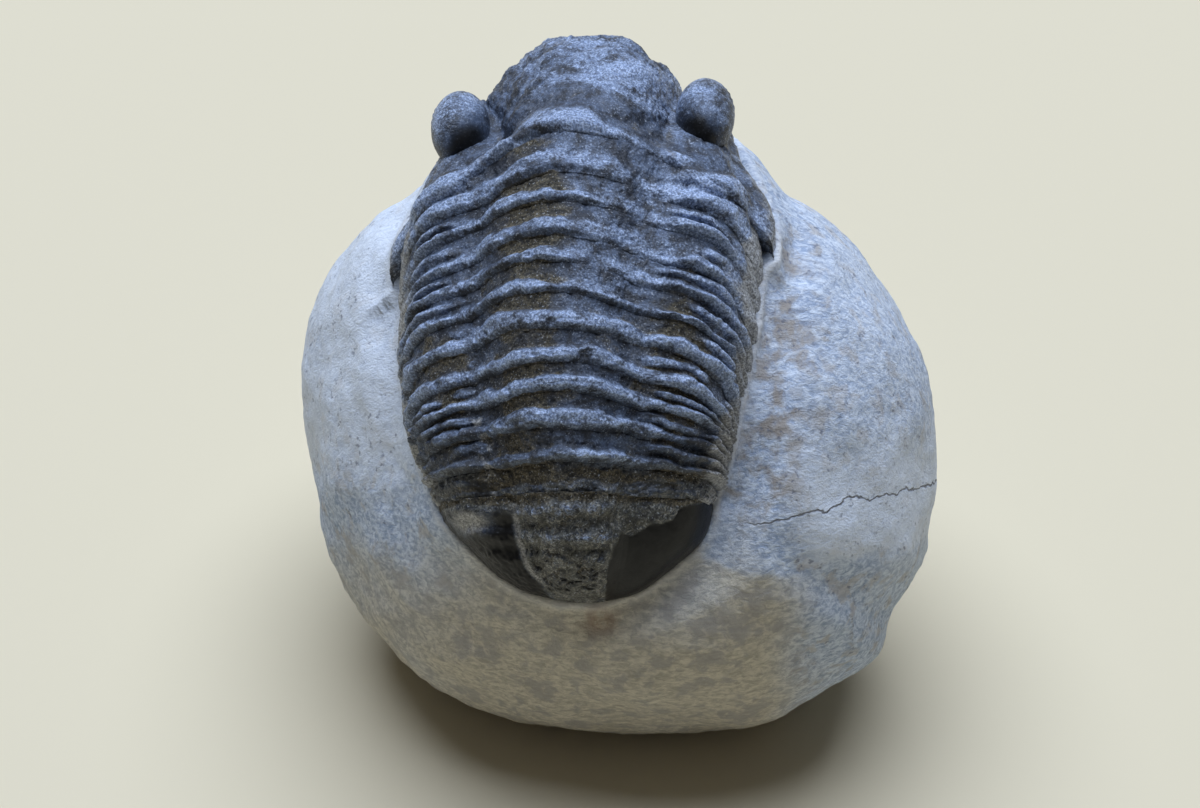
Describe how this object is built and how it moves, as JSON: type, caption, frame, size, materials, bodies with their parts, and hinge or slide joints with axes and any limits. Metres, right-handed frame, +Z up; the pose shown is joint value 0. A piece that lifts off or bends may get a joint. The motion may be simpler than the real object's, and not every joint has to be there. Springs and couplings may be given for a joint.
{
  "type": "trilobite fossil",
  "caption": "Trilobite fossil in relief over a rounded limestone nodule, ribbed back, domed head and round eyes, resting on a flat base.",
  "frame": {"origin": "middle of the bounding box's bottom, in the plane of the nodule's flat base", "axes": "+Z up; the trilobite's tail faces -Y and its head lies over the top of the stone towards +Y; +X to the right seen from the tail"},
  "size_m": [0.0458, 0.0424, 0.0465],
  "materials": {
    "limestone": "matte, blue-grey above and beige-grey below, fine dark speckle",
    "shell": "blue-black mineralised shell with a low sheen, brown sediment in its grooves"
  },
  "bodies": {
    "root": {"matrix": "limestone", "cephalon": "shell", "thoracic_segment_01": "shell", "thoracic_segment_02": "shell", "thoracic_segment_03": "shell", "thoracic_segment_04": "shell", "thoracic_segment_05": "shell", "thoracic_segment_06": "shell", "thoracic_segment_07": "shell", "thoracic_segment_08": "shell", "thoracic_segment_09": "shell", "thoracic_segment_10": "shell", "thoracic_segment_11": "shell", "pygidium": "shell"}
  },
  "joints": []
}
